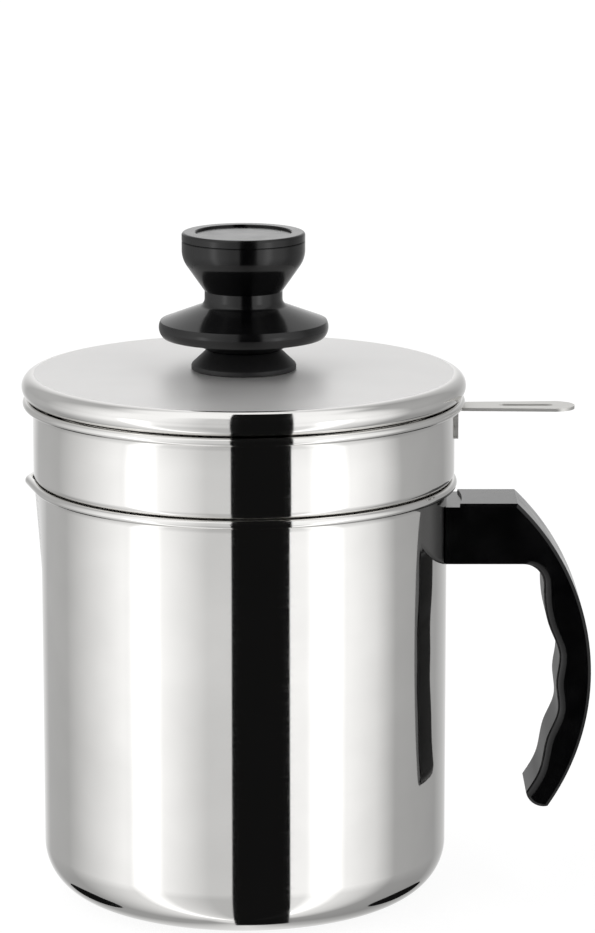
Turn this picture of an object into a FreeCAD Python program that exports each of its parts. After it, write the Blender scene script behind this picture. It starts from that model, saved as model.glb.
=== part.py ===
"""Bacon grease container: a steel pot with a bakelite handle, a drop-in strainer and a lid.

Lengths are in millimetres, +Z is up. The origin is on the pot's axis, on the table.
The handle and the strainer's tab point along +X and the pouring lip along -X.
The pieces stand closed: the strainer sits on the pot's rim and the lid on the strainer's.
"""
import FreeCAD, Part
import math
import os

V = FreeCAD.Vector
UP = V(0, 0, 1)

# Pot
pot_radius = 65.0
pot_height = 135.6
pot_wall = 0.8
pot_corner = 16.0
pot_bead = 2.8
pot_rim_flare = 1.1
pot_flare_height = 3.2
rim_curl_end = -150.0
spout_reach = 2.0
spout_root_reach = 0.05
spout_depth = 30.0
spout_nose = 7.0

# Strainer
strainer_height = 26.3
strainer_wall = 0.8
strainer_step = 3.9
strainer_corner = 2.5
strainer_bead = 2.8
strainer_rim_flare = 1.2
strainer_flare_height = 3.2
plug_depth = 12.0
plug_corner = 2.5
mesh_ledge = 5.0
mesh_thickness = 0.5
mesh_pitch = 5.0
mesh_bar = 1.2
mesh_ring_width = 4.0
mesh_ring_thickness = 0.8

# Strainer tab
tab_thickness = 1.0
tab_reach = 35.0
tab_root_width = 10.0
tab_tip_width = 13.0
tab_slot_length = 17.0
tab_slot_width = 3.0
tab_slot_margin = 7.0
tab_leg = 10.0
tab_drop = 0.3

# Lid
lid_wall = 0.8
lid_overhang = 0.3
lid_edge = 4.0
lid_rise = 5.0
collar_wall = 0.7
collar_depth = 10.6
collar_lip = 1.4
collar_rise = 1.6

# Knob, all heights from the lid's top
knob_foot_radius = 16.7
knob_foot_height = 6.2
knob_foot_edge = 1.6
knob_foot_top = 11.9
flange_radius = 27.0
flange_height = 15.5
flange_edge = 5.0
flange_under_inset = 1.2
flange_widest_drop = 2.0
flange_lip = 0.5
flange_under_share = 0.7
flange_slope_angle = 21.0
neck_radius = 12.4
neck_fillet = 2.5
head_radius = 19.6
head_height = 40.9
bowl_drop = 2.6
bowl_rounding = 9.0
bowl_slope_angle = 35.0
knob_seat_step = 0.4
cap_height = 3.0
cap_edge = 0.9
cap_seam_width = 0.1
cap_seam_height = 0.2
inlay_radius = 15.2
inlay_depth = 0.7
cap_plug_radius = 8.0
cap_plug_depth = 5.0
cap_socket_clearance = 0.3
cap_socket_spare = 1.0

# Knob fixing
knob_screw_diameter = 5.0
knob_screw_grip = 11.0
knob_screw_head = 9.5
knob_screw_head_height = 3.2
insert_radius = 4.2
insert_length = 12.0
washer_radius = 8.0
washer_thickness = 1.0

# Handle: the arm hangs from the pot's rim, and its top runs out to meet the grip's outer arc
handle_width = 24.0
arm_drop = 6.8
arm_height = 19.8
arm_heel_length = 24.2
heel_radius = 6.5
grip_radius = 78.7
handle_reach = 46.3
grip_centre_drop = 56.75
grip_end_angle = -33.5
grip_thickness = 11.4
grip_taper = 1.5
tip_inner_trim = 1.0
tip_outer_trim = 0.5
tip_middle_share = 0.5
tip_overrun_angle = 1.4
finger_count = 3
finger_pitch_angle = 15.4
finger_first_angle = 13.6
finger_depth = 1.4
grip_bevel = 1.0
grip_rounding = 3.4
inner_side_share = 0.4
rim_relief_width = 1.6
rim_relief_depth = 1.0

# Handle bracket and its screw
bracket_wall = 1.2
bracket_width = 16.0
bracket_height = 12.0
tongue_width = 11.0
tongue_length = 19.0
tongue_height = 9.0
screw_inset = 13.0
handle_screw_diameter = 5.0
handle_screw_head = 9.0
handle_screw_head_height = 3.4
handle_screw_length = 11.0
screw_sink = 0.5
lock_washer_thickness = 1.2
weld_nut_width = 8.0
weld_nut_height = 4.0
drive_slot_width = 1.2
drive_slot_depth = 1.4
screw_rounding_share = 0.4

# Clearances between pieces
seat_gap = 0.3
plug_clearance = 0.8
collar_clearance = 0.7
mesh_clearance = 0.3
pocket_clearance = 0.3
hole_clearance = 0.3


def arc(start, middle, end):
    return Part.Arc(V(*start), V(*middle), V(*end)).toShape()


def line(start, end):
    return Part.LineSegment(V(*start), V(*end)).toShape()


def section(radius, height):
    """A point of a turned profile, in the XZ plane."""
    return (radius, 0, height)


def turned(edges):
    """The solid that a closed profile in the XZ plane makes round the Z axis."""
    wire = Part.Wire(Part.__sortEdges__(edges))
    return Part.Face(wire).revolve(V(0, 0, 0), UP, 360)


def turned_polygon(points):
    corners = [V(*section(*point)) for point in points]
    return Part.Face(Part.makePolygon(corners + corners[:1])).revolve(V(0, 0, 0), UP, 360)


def on_circle(centre, radius, degrees):
    """The point of a profile on a circle, at an angle from the outward direction."""
    angle = math.radians(degrees)
    return section(centre[0] + radius * math.cos(angle), centre[1] + radius * math.sin(angle))


def cylinder(radius, height, x, y, z):
    return Part.makeCylinder(radius, height, V(x, y, z), UP)


def round_wall(radius, height, z):
    """A cylinder on the pot's axis whose seam lies away from the handle."""
    shape = cylinder(radius, height, 0, 0, z)
    shape.rotate(V(0, 0, 0), UP, 180)
    return shape


def rest_height(lower, lower_radius, upper_x, upper_radius):
    """Height of a rounded edge's centre where it rests, with the seat gap, on a round bead."""
    reach = lower_radius + upper_radius + seat_gap
    return lower[1] + math.sqrt(reach ** 2 - (lower[0] - upper_x) ** 2)


# Places that several pieces share
pot_inner = pot_radius - pot_wall
pot_bead_centre = (pot_inner + pot_rim_flare + pot_bead / 2, pot_height - pot_bead / 2)

plug_radius = pot_inner - plug_clearance
strainer_radius = plug_radius + strainer_step
strainer_inner = strainer_radius - strainer_wall
shoulder_centre_x = strainer_radius - strainer_corner
shoulder_z = rest_height(pot_bead_centre, pot_bead / 2, shoulder_centre_x, strainer_corner) - strainer_corner
strainer_top = shoulder_z + strainer_height
strainer_bead_centre = (
    strainer_inner + strainer_rim_flare + strainer_bead / 2,
    strainer_top - strainer_bead / 2,
)
plug_bottom = shoulder_z - plug_depth

lid_radius = strainer_bead_centre[0] + strainer_bead / 2 + lid_overhang
lid_edge_x = lid_radius - lid_edge
lid_edge_z = rest_height(strainer_bead_centre, strainer_bead / 2, lid_edge_x, lid_edge)
lid_top = lid_edge_z + lid_rise
collar_radius = strainer_inner - collar_clearance
crown_rise = lid_rise - lid_edge
crown_radius = (lid_edge_x ** 2 + crown_rise ** 2) / (2 * crown_rise)
crown_centre = lid_top - crown_radius

arm_top = pot_height - arm_drop
arm_bottom = arm_top - arm_height
arm_heel = pot_radius + arm_heel_length
grip_centre_x = pot_radius + handle_reach - grip_radius
grip_centre_z = arm_top - grip_centre_drop
grip_start_angle = math.degrees(math.asin(grip_centre_drop / grip_radius))


def rolled_rim(centre, radius, wall):
    """The open curl of a rolled rim: it leaves the wall, goes over the top and back under."""
    inner = radius - wall
    middle_turn = (180 + rim_curl_end) / 2
    return Part.Wire([
        arc(on_circle(centre, radius, 180), on_circle(centre, radius, middle_turn),
            on_circle(centre, radius, rim_curl_end)),
        line(on_circle(centre, radius, rim_curl_end), on_circle(centre, inner, rim_curl_end)),
        arc(on_circle(centre, inner, rim_curl_end), on_circle(centre, inner, middle_turn),
            on_circle(centre, inner, 180)),
        line(on_circle(centre, inner, 180), on_circle(centre, radius, 180)),
    ])


def spout_outline(radius, reach, z):
    """A circle with a pouring lip that stands out along -X by the reach, as tangent arcs and lines."""
    tip = radius + reach
    nose = spout_nose + radius - pot_radius
    nose_x = tip - nose
    turn = math.acos((radius - nose) / nose_x)
    side_x = -radius * math.cos(turn)
    side_y = radius * math.sin(turn)
    lip_x = -nose_x - nose * math.cos(turn)
    lip_y = nose * math.sin(turn)
    return Part.Wire([
        arc((side_x, -side_y, z), (radius, 0, z), (side_x, side_y, z)),
        line((side_x, side_y, z), (lip_x, lip_y, z)),
        arc((lip_x, lip_y, z), (-tip, 0, z), (lip_x, -lip_y, z)),
        line((lip_x, -lip_y, z), (side_x, -side_y, z)),
    ])


def pot_body(inset):
    """The pot's outside, or its inside where the inset is the wall."""
    corner = pot_corner - inset
    radius = pot_radius - inset
    spout_z = pot_height - spout_depth
    flare_z = pot_bead_centre[1] - pot_flare_height
    cup = turned([
        line(section(0, inset), section(radius - corner, inset)),
        arc(section(radius - corner, inset), on_circle((radius - corner, inset + corner), corner, -45),
            section(radius, inset + corner)),
        line(section(radius, inset + corner), section(radius, spout_z)),
        line(section(radius, spout_z), section(0, spout_z)),
        line(section(0, spout_z), section(0, inset)),
    ])
    flare_reach = spout_reach * (flare_z - spout_z) / spout_depth
    lip = Part.makeLoft([
        spout_outline(radius, spout_root_reach, spout_z),
        spout_outline(radius, flare_reach, flare_z),
        spout_outline(radius + pot_rim_flare, spout_reach, pot_bead_centre[1]),
    ], True, True)
    return cup.fuse(lip)


def pot_shell():
    inner = pot_body(pot_wall)
    wall = pot_body(0).cut(inner)
    path = spout_outline(pot_bead_centre[0], spout_reach, pot_bead_centre[1])
    curl = rolled_rim(pot_bead_centre, pot_bead / 2, pot_wall)
    rim = path.makePipeShell([curl], True, False)
    return wall.fuse(rim).removeSplitter()


def strainer_envelope():
    """The outside of the strainer up to the middle of its rim, filled."""
    shoulder = (shoulder_centre_x, shoulder_z + strainer_corner)
    plug = (plug_radius - plug_corner, plug_bottom + plug_corner)
    flare_z = strainer_bead_centre[1] - strainer_flare_height
    rim_z = strainer_bead_centre[1]
    return turned([
        line(section(0, plug_bottom), section(plug[0], plug_bottom)),
        arc(section(plug[0], plug_bottom), on_circle(plug, plug_corner, -45), section(plug_radius, plug[1])),
        line(section(plug_radius, plug[1]), section(plug_radius, shoulder_z)),
        line(section(plug_radius, shoulder_z), section(shoulder[0], shoulder_z)),
        arc(section(shoulder[0], shoulder_z), on_circle(shoulder, strainer_corner, -45),
            section(strainer_radius, shoulder[1])),
        line(section(strainer_radius, shoulder[1]), section(strainer_radius, flare_z)),
        line(section(strainer_radius, flare_z), section(strainer_radius + strainer_rim_flare, rim_z)),
        line(section(strainer_radius + strainer_rim_flare, rim_z), section(0, rim_z)),
        line(section(0, rim_z), section(0, plug_bottom)),
    ])


def strainer_shell():
    """Stepped sheet ring: wide bowl, shoulder on the pot's rim, plug with a ledge for the mesh."""
    wall = strainer_wall
    shoulder = (shoulder_centre_x, shoulder_z + strainer_corner)
    plug = (plug_radius - plug_corner, plug_bottom + plug_corner)
    plug_inner = plug_radius - wall
    floor_z = plug_bottom + wall
    step_z = shoulder_z + wall
    flare_z = strainer_bead_centre[1] - strainer_flare_height
    rim_z = strainer_bead_centre[1]
    bowl = turned([
        line(section(0, floor_z), section(plug[0], floor_z)),
        arc(section(plug[0], floor_z), on_circle(plug, plug_corner - wall, -45),
            section(plug_inner, plug[1])),
        line(section(plug_inner, plug[1]), section(plug_inner, step_z)),
        line(section(plug_inner, step_z), section(shoulder[0], step_z)),
        arc(section(shoulder[0], step_z), on_circle(shoulder, strainer_corner - wall, -45),
            section(strainer_inner, shoulder[1])),
        line(section(strainer_inner, shoulder[1]), section(strainer_inner, flare_z)),
        line(section(strainer_inner, flare_z), section(strainer_inner + strainer_rim_flare, rim_z)),
        line(section(strainer_inner + strainer_rim_flare, rim_z), section(0, rim_z)),
        line(section(0, rim_z), section(0, floor_z)),
    ])
    drain = cylinder(plug_radius - mesh_ledge, wall, 0, 0, plug_bottom)
    curl = rolled_rim(strainer_bead_centre, strainer_bead / 2, wall)
    rim = Part.Face(curl).revolve(V(0, 0, 0), UP, 360)
    return strainer_envelope().cut(bowl).cut(drain).fuse(rim).removeSplitter()


mesh_z = plug_bottom + strainer_wall
mesh_radius = plug_radius - plug_corner - mesh_clearance


def strainer_mesh():
    """A disc with square openings, held at its edge between the ledge and the ring."""
    half_opening = (mesh_pitch - mesh_bar) / 2
    open_radius = mesh_radius - mesh_ring_width
    steps = int(open_radius / mesh_pitch) + 1
    outlines = [Part.Wire(Part.makeCircle(mesh_radius, V(0, 0, mesh_z)))]
    for column in range(-steps, steps + 1):
        for row in range(-steps, steps + 1):
            x = column * mesh_pitch
            y = row * mesh_pitch
            if math.hypot(abs(x) + half_opening, abs(y) + half_opening) > open_radius:
                continue
            outlines.append(Part.makePolygon([
                V(x - half_opening, y - half_opening, mesh_z),
                V(x + half_opening, y - half_opening, mesh_z),
                V(x + half_opening, y + half_opening, mesh_z),
                V(x - half_opening, y + half_opening, mesh_z),
                V(x - half_opening, y - half_opening, mesh_z),
            ]))
    return Part.makeFace(outlines, "Part::FaceMakerBullseye").extrude(V(0, 0, mesh_thickness))


def mesh_ring():
    """The flat ring that is spot-welded over the mesh's edge."""
    bottom = mesh_z + mesh_thickness
    disc = cylinder(mesh_radius, mesh_ring_thickness, 0, 0, bottom)
    return disc.cut(cylinder(mesh_radius - mesh_ring_width, mesh_ring_thickness, 0, 0, bottom))


def strainer_tab():
    """The lift tab: a slotted strip under the rim, with a leg welded to the bowl's wall."""
    rim_edge = strainer_bead_centre[0] + strainer_bead / 2
    top = strainer_top - strainer_bead - tab_drop
    tip = rim_edge + tab_reach
    root_half = tab_root_width / 2
    tip_half = tab_tip_width / 2
    tip_x = tip - tip_half
    bottom = top - tab_thickness
    # Both start inside the bowl's wall, and the bowl then cuts them back to its outside.
    inside = strainer_radius - tab_thickness
    strip = Part.Face(Part.Wire([
        line((inside, -root_half, bottom), (tip_x, -tip_half, bottom)),
        arc((tip_x, -tip_half, bottom), (tip, 0, bottom), (tip_x, tip_half, bottom)),
        line((tip_x, tip_half, bottom), (inside, root_half, bottom)),
        line((inside, root_half, bottom), (inside, -root_half, bottom)),
    ])).extrude(V(0, 0, tab_thickness))
    slot_end = tip - tab_slot_margin
    slot_half = tab_slot_width / 2
    slot_start = slot_end - tab_slot_length
    slot = Part.makeBox(tab_slot_length - tab_slot_width, tab_slot_width, tab_thickness,
                        V(slot_start + slot_half, -slot_half, bottom))
    for centre in (slot_start + slot_half, slot_end - slot_half):
        slot = slot.fuse(cylinder(slot_half, tab_thickness, centre, 0, bottom))
    leg = Part.makeBox(2 * tab_thickness, tab_root_width, tab_leg,
                       V(inside, -root_half, top - tab_leg))
    tab = strip.cut(slot).fuse(leg)
    corner = V(inside + 2 * tab_thickness, 0, bottom)
    bend = [edge for edge in tab.Edges if edge.CenterOfMass.distanceToPoint(corner) < 0.1]
    return tab.makeFillet(tab_thickness, bend).cut(strainer_envelope()).removeSplitter()


def crown_height(radius, sink=0.0):
    """Height of the lid's crowned top at a radius, or of its underside."""
    return crown_centre + math.sqrt((crown_radius - sink) ** 2 - radius ** 2)


def lid_cover():
    """The crowned sheet, rounded at its edge and tucked in to meet the collar."""
    edge = (lid_edge_x, lid_edge_z)
    inner_edge = lid_edge - lid_wall
    tuck = math.degrees(math.acos((collar_radius - lid_edge_x) / lid_edge))
    inner_tuck = math.degrees(math.acos((collar_radius - lid_edge_x) / inner_edge))
    turn = math.degrees(math.atan2(lid_edge_z - crown_centre, lid_edge_x))
    bore = knob_screw_diameter / 2 + hole_clearance
    outer_top = on_circle(edge, lid_edge, turn)
    inner_top = on_circle(edge, inner_edge, turn)
    middle = lid_edge_x / 2
    return turned([
        arc(section(bore, crown_height(bore)), section(middle, crown_height(middle)), outer_top),
        arc(outer_top, on_circle(edge, lid_edge, 0), on_circle(edge, lid_edge, -tuck)),
        line(on_circle(edge, lid_edge, -tuck), on_circle(edge, inner_edge, -inner_tuck)),
        arc(on_circle(edge, inner_edge, -inner_tuck), on_circle(edge, inner_edge, 0), inner_top),
        arc(inner_top, section(middle, crown_height(middle, lid_wall)),
            section(bore, crown_height(bore, lid_wall))),
        line(section(bore, crown_height(bore, lid_wall)), section(bore, crown_height(bore))),
    ])


def lid_collar():
    """The ring under the lid that enters the strainer, with its lower edge turned in."""
    inner = collar_radius - collar_wall
    bottom = lid_edge_z - collar_depth
    top = lid_edge_z - lid_edge + collar_rise
    centre = (collar_radius - collar_lip, bottom + collar_lip)
    lip_end = collar_radius - 2 * collar_lip
    return turned([
        line(section(collar_radius, top), section(collar_radius, centre[1])),
        arc(section(collar_radius, centre[1]), on_circle(centre, collar_lip, -45),
            section(centre[0], bottom)),
        line(section(centre[0], bottom), section(lip_end, bottom)),
        line(section(lip_end, bottom), section(lip_end, bottom + collar_wall)),
        line(section(lip_end, bottom + collar_wall), section(centre[0], bottom + collar_wall)),
        arc(section(centre[0], bottom + collar_wall), on_circle(centre, collar_lip - collar_wall, -45),
            section(inner, centre[1])),
        line(section(inner, centre[1]), section(inner, top)),
        line(section(inner, top), section(collar_radius, top)),
    ])


def knob_foot():
    """The matt foot between lid and knob, hollowed to the lid's crown."""
    bore = insert_radius
    top = lid_top + knob_foot_height
    middle = knob_foot_radius / 2
    seat_z = crown_height(knob_foot_radius)
    edge_z = seat_z + knob_foot_edge
    return turned([
        arc(section(bore, crown_height(bore)), section(middle, crown_height(middle)),
            section(knob_foot_radius, seat_z)),
        line(section(knob_foot_radius, seat_z), section(knob_foot_radius, edge_z)),
        line(section(knob_foot_radius, edge_z), section(knob_foot_top, top)),
        line(section(knob_foot_top, top), section(bore, top)),
        line(section(bore, top), section(bore, crown_height(bore))),
    ])


def knob_body():
    """The turned grip: dished flange, short neck and a bowl that the cap closes."""
    foot_z = lid_top + knob_foot_height
    flange_z = lid_top + flange_height
    lower_edge = (flange_radius - flange_under_inset, flange_z - flange_edge)
    seam_z = lid_top + head_height
    boss_radius = knob_foot_top - knob_seat_step
    upper_edge = (flange_radius - flange_lip, flange_z)
    under = ((boss_radius + lower_edge[0]) / 2, foot_z + flange_under_share * (lower_edge[1] - foot_z))
    side = (flange_radius, flange_z - flange_widest_drop)
    slope = math.radians(flange_slope_angle)
    flare_end_x = neck_radius + neck_fillet * (1 - math.sin(slope))
    flare_end_z = flange_z + (upper_edge[0] - flare_end_x) * math.tan(slope)
    flare = (neck_radius + neck_fillet, flare_end_z + neck_fillet * math.cos(slope))
    bowl = (head_radius - bowl_rounding, seam_z - bowl_drop)
    bowl_low = on_circle(bowl, bowl_rounding, -bowl_slope_angle)
    neck_top = bowl_low[2] - (bowl_low[0] - neck_radius) / math.tan(math.radians(bowl_slope_angle))
    shape = turned([
        line(section(0, foot_z), section(boss_radius, foot_z)),
        arc(section(boss_radius, foot_z), section(*under), section(*lower_edge)),
        arc(section(*lower_edge), section(*side), section(*upper_edge)),
        line(section(*upper_edge), section(flare_end_x, flare_end_z)),
        arc(section(flare_end_x, flare_end_z), on_circle(flare, neck_fillet, -135),
            section(neck_radius, flare[1])),
        line(section(neck_radius, flare[1]), section(neck_radius, neck_top)),
        line(section(neck_radius, neck_top), bowl_low),
        arc(bowl_low, on_circle(bowl, bowl_rounding, -bowl_slope_angle / 2), section(head_radius, bowl[1])),
        line(section(head_radius, bowl[1]), section(head_radius, seam_z)),
        line(section(head_radius, seam_z), section(0, seam_z)),
        line(section(0, seam_z), section(0, foot_z)),
    ])
    insert_hole = cylinder(insert_radius, insert_length, 0, 0, foot_z)
    socket_depth = cap_plug_depth + cap_socket_spare
    cap_socket = cylinder(cap_plug_radius + cap_socket_clearance, socket_depth, 0, 0, seam_z - socket_depth)
    return shape.cut(insert_hole).cut(cap_socket)


def knob_cap():
    """The cap that snaps into the bowl, with a bare round recess in its top."""
    seam_z = lid_top + head_height
    top = seam_z + cap_height
    edge_z = top - cap_edge
    cap = turned_polygon([
        (0, seam_z), (head_radius - cap_seam_width, seam_z), (head_radius, seam_z + cap_seam_height),
        (head_radius, edge_z),
        (head_radius - cap_edge, top), (inlay_radius, top), (inlay_radius, top - inlay_depth),
        (0, top - inlay_depth),
    ])
    return cap.fuse(cylinder(cap_plug_radius, cap_plug_depth, 0, 0, seam_z - cap_plug_depth))


insert_z = lid_top + knob_foot_height
screw_head_z = crown_height(washer_radius, lid_wall) - washer_thickness


def knob_insert():
    """The brass bush that is moulded into the knob and takes its screw."""
    bush = cylinder(insert_radius, insert_length, 0, 0, insert_z)
    return bush.cut(cylinder(knob_screw_diameter / 2, insert_length, 0, 0, insert_z))


def knob_washer():
    """The flat washer under the lid's sheet."""
    bore = knob_screw_diameter / 2 + hole_clearance
    washer = cylinder(washer_radius, washer_thickness, 0, 0, screw_head_z)
    return washer.cut(cylinder(bore, washer_thickness, 0, 0, screw_head_z))


def pan_screw(diameter, length, head_diameter, head_height):
    """A slotted pan-head screw, head down, shank up from z = 0."""
    head = cylinder(head_diameter / 2, head_height, 0, 0, -head_height)
    rim = [edge for edge in head.Edges
           if edge.CenterOfMass.z < -head_height + 0.01 and len(edge.Vertexes) == 1]
    head = head.makeFillet(head_height * screw_rounding_share, rim)
    slot = Part.makeBox(head_diameter, drive_slot_width, drive_slot_depth,
                        V(-head_diameter / 2, -drive_slot_width / 2, -head_height))
    shank = cylinder(diameter / 2, length, 0, 0, 0)
    return head.cut(slot).fuse(shank).removeSplitter()


def knob_screw():
    length = insert_z - screw_head_z + knob_screw_grip
    screw = pan_screw(knob_screw_diameter, length, knob_screw_head, knob_screw_head_height)
    screw.translate(V(0, 0, screw_head_z))
    return screw


# Handle fixing, worked out from the arm and the pot's wall
arm_middle = arm_bottom + arm_height / 2
tongue_z = arm_middle - bracket_wall / 2
screw_x = pot_radius + screw_inset
counterbore_depth = handle_screw_head_height + lock_washer_thickness + screw_sink
handle_screw_z = arm_bottom + counterbore_depth - lock_washer_thickness


def handle_bracket():
    """The steel plate welded to the pot's wall, with a tongue that enters the arm."""
    bottom = arm_middle - bracket_height / 2
    plate = round_wall(pot_radius + bracket_wall, bracket_height, bottom)
    window = Part.makeBox(2 * pot_radius, bracket_width, bracket_height, V(0, -bracket_width / 2, bottom))
    tongue = Part.makeBox(tongue_length + bracket_wall, tongue_width, bracket_wall,
                          V(pot_radius, -tongue_width / 2, tongue_z))
    hole = cylinder(handle_screw_diameter / 2 + hole_clearance, bracket_wall, screw_x, 0, tongue_z)
    bracket = plate.common(window).fuse(tongue).cut(hole)
    return bracket.cut(round_wall(pot_radius, bracket_height, bottom)).removeSplitter()


def grip_point(degrees, depth, y=0.0):
    """A point of the handle's side outline, a depth in from the grip's outer arc."""
    angle = math.radians(degrees)
    radius = grip_radius - depth
    return V(grip_centre_x + radius * math.cos(angle), y, grip_centre_z + radius * math.sin(angle))


def grip_depth(degrees):
    """Thickness of the grip at an angle: it thins towards its free end."""
    share = (grip_start_angle - degrees) / (grip_start_angle - grip_end_angle)
    return grip_thickness - grip_taper * share


def handle_outline(y):
    """The side view of arm and grip, with the finger waves along the inner side."""
    fingers = []
    for step in range(2 * finger_count):
        angle = finger_first_angle - step * finger_pitch_angle / 2
        wave = -finger_depth / 2 if step % 2 else finger_depth / 2
        fingers.append(grip_point(angle, grip_depth(angle) + wave, y))
    heel_x = arm_heel + heel_radius
    heel_end = V(heel_x, y, arm_bottom - heel_radius)
    tip_inner = grip_point(grip_end_angle, grip_depth(grip_end_angle) - tip_inner_trim, y)
    tip_low = grip_point(grip_end_angle - tip_overrun_angle, tip_middle_share * grip_depth(grip_end_angle), y)
    tip_outer = grip_point(grip_end_angle, tip_outer_trim, y)
    shoulder = grip_point(grip_start_angle, 0, y)
    grip_middle = grip_point((grip_start_angle + grip_end_angle) / 2, 0, y)
    heel = V(arm_heel, y, arm_bottom)
    end_turn = math.radians(grip_end_angle)
    waves = Part.BSplineCurve()
    waves.interpolate(Points=[heel_end] + fingers + [tip_inner], InitialTangent=V(0, 0, -1),
                      FinalTangent=V(math.sin(end_turn), 0, -math.cos(end_turn)))
    root = V(pot_radius - pot_wall, y, arm_top)
    root_low = V(pot_radius - pot_wall, y, arm_bottom)
    heel_middle = V(arm_heel + heel_radius * math.sin(math.radians(45)), y,
                    arm_bottom - heel_radius * (1 - math.cos(math.radians(45))))
    return Part.Wire([
        line(root, shoulder),
        arc(shoulder, grip_middle, tip_outer),
        arc(tip_outer, tip_low, tip_inner),
        waves.toShape(),
        arc(heel_end, heel_middle, heel),
        line(heel, root_low),
        line(root_low, root),
    ])


def on_inner_side(edge):
    """Whether an edge of the handle's outline is under the arm or along the fingers."""
    middle_radius = grip_radius - inner_side_share * grip_thickness
    return all(
        vertex.Z < arm_middle
        and math.hypot(vertex.X - grip_centre_x, vertex.Z - grip_centre_z) < middle_radius
        for vertex in edge.Vertexes
    )


def outline_edges(shape):
    """The edges of arm and grip that lie in the handle's two flat sides."""
    half = handle_width / 2
    return [edge for edge in shape.Edges
            if abs(abs(edge.CenterOfMass.y) - half) < 0.01 and edge.CenterOfMass.x > pot_radius]


def handle_blank():
    """Arm and grip before their holes: bevelled all round, and softer where the fingers go."""
    half = handle_width / 2
    blank = Part.Face(handle_outline(-half)).extrude(V(0, handle_width, 0))
    blank = blank.makeChamfer(grip_bevel, outline_edges(blank))
    blank = blank.makeFillet(grip_rounding, [edge for edge in outline_edges(blank) if on_inner_side(edge)])
    blank = blank.cut(round_wall(pot_radius, pot_height, 0))
    relief = pot_bead_centre[0] + pot_bead / 2 + rim_relief_width
    return blank.cut(round_wall(relief, pot_height, arm_top - rim_relief_depth))


def handle_grip():
    """The bakelite arm and grip, with its pocket for the bracket and hole for the screw."""
    pocket_height = bracket_height + 2 * pocket_clearance
    pocket_width = bracket_width + 2 * pocket_clearance
    pocket_z = arm_middle - pocket_height / 2
    pocket = round_wall(pot_radius + bracket_wall + pocket_clearance, pocket_height, pocket_z)
    pocket = pocket.common(Part.makeBox(2 * pot_radius, pocket_width, pocket_height,
                                        V(0, -pocket_width / 2, pocket_z)))
    channel = Part.makeBox(bracket_wall + tongue_length + pocket_clearance,
                           tongue_width + 2 * pocket_clearance, tongue_height,
                           V(pot_radius, -tongue_width / 2 - pocket_clearance, tongue_z))
    shank = cylinder(handle_screw_diameter / 2 + hole_clearance, arm_height / 2, screw_x, 0, arm_bottom)
    head = cylinder(handle_screw_head / 2 + pocket_clearance, counterbore_depth, screw_x, 0, arm_bottom)
    return handle_blank().cut(pocket).cut(channel).cut(shank).cut(head)


def handle_screw():
    screw = pan_screw(handle_screw_diameter, handle_screw_length, handle_screw_head, handle_screw_head_height)
    screw.translate(V(screw_x, 0, handle_screw_z))
    return screw


def handle_lock_washer():
    bore = handle_screw_diameter / 2 + hole_clearance
    washer = cylinder(handle_screw_head / 2, lock_washer_thickness, screw_x, 0, handle_screw_z)
    return washer.cut(cylinder(bore, lock_washer_thickness, screw_x, 0, handle_screw_z))


def handle_nut():
    """The square nut welded on the bracket's tongue."""
    half = weld_nut_width / 2
    nut = Part.makeBox(weld_nut_width, weld_nut_width, weld_nut_height,
                       V(screw_x - half, -half, tongue_z + bracket_wall))
    return nut.cut(cylinder(handle_screw_diameter / 2, weld_nut_height, screw_x, 0, tongue_z + bracket_wall))


PIECES = {
    "pot_shell": pot_shell,
    "handle_bracket": handle_bracket,
    "handle_nut": handle_nut,
    "handle_grip": handle_grip,
    "handle_screw": handle_screw,
    "handle_lock_washer": handle_lock_washer,
    "strainer_shell": strainer_shell,
    "strainer_mesh": strainer_mesh,
    "mesh_ring": mesh_ring,
    "strainer_tab": strainer_tab,
    "lid_cover": lid_cover,
    "lid_collar": lid_collar,
    "knob_foot": knob_foot,
    "knob_body": knob_body,
    "knob_cap": knob_cap,
    "knob_insert": knob_insert,
    "knob_washer": knob_washer,
    "knob_screw": knob_screw,
}

os.makedirs("parts", exist_ok=True)
for name, build in PIECES.items():
    piece = build()
    piece.exportStep(f"parts/{name}.step")
    box = piece.BoundBox
    print(f"{name:20s} valid {piece.isValid()} solids {len(piece.Solids)} volume {piece.Volume:9.1f}"
          f"  x {box.XMin:7.2f} {box.XMax:7.2f}  z {box.ZMin:7.2f} {box.ZMax:7.2f}")
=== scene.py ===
"""Bacon grease container: a polished steel pot with its strainer, lid, bakelite handle and knob."""
import math

import bmesh
import bpy
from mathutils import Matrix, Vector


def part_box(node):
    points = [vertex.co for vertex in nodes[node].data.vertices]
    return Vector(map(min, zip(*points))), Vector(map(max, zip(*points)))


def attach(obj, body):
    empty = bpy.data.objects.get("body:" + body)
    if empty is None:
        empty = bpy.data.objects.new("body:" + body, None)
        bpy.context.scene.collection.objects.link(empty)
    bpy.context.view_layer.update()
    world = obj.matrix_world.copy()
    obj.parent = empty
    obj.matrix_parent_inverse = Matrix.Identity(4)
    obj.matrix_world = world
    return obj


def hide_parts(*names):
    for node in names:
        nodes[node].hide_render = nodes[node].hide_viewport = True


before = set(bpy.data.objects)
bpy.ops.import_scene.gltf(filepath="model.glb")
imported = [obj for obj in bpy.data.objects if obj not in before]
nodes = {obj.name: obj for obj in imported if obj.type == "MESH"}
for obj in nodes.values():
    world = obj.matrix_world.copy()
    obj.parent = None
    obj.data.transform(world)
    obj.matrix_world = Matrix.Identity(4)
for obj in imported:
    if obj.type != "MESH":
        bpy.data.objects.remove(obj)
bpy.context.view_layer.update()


# Pot: a cup deep-drawn from 0.8 mm stainless sheet, mirror-polished outside and brushed inside.
# Its wall ends in a small flare that is rolled outward into a hollow bead, and opposite the
# handle the rim is pressed out into a pouring lip. Lengths are in millimetres.
MM = 0.001
pot_radius = 65.0
pot_corner = 16.0
pot_wall = 0.8
pot_inner = pot_radius - pot_wall
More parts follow.
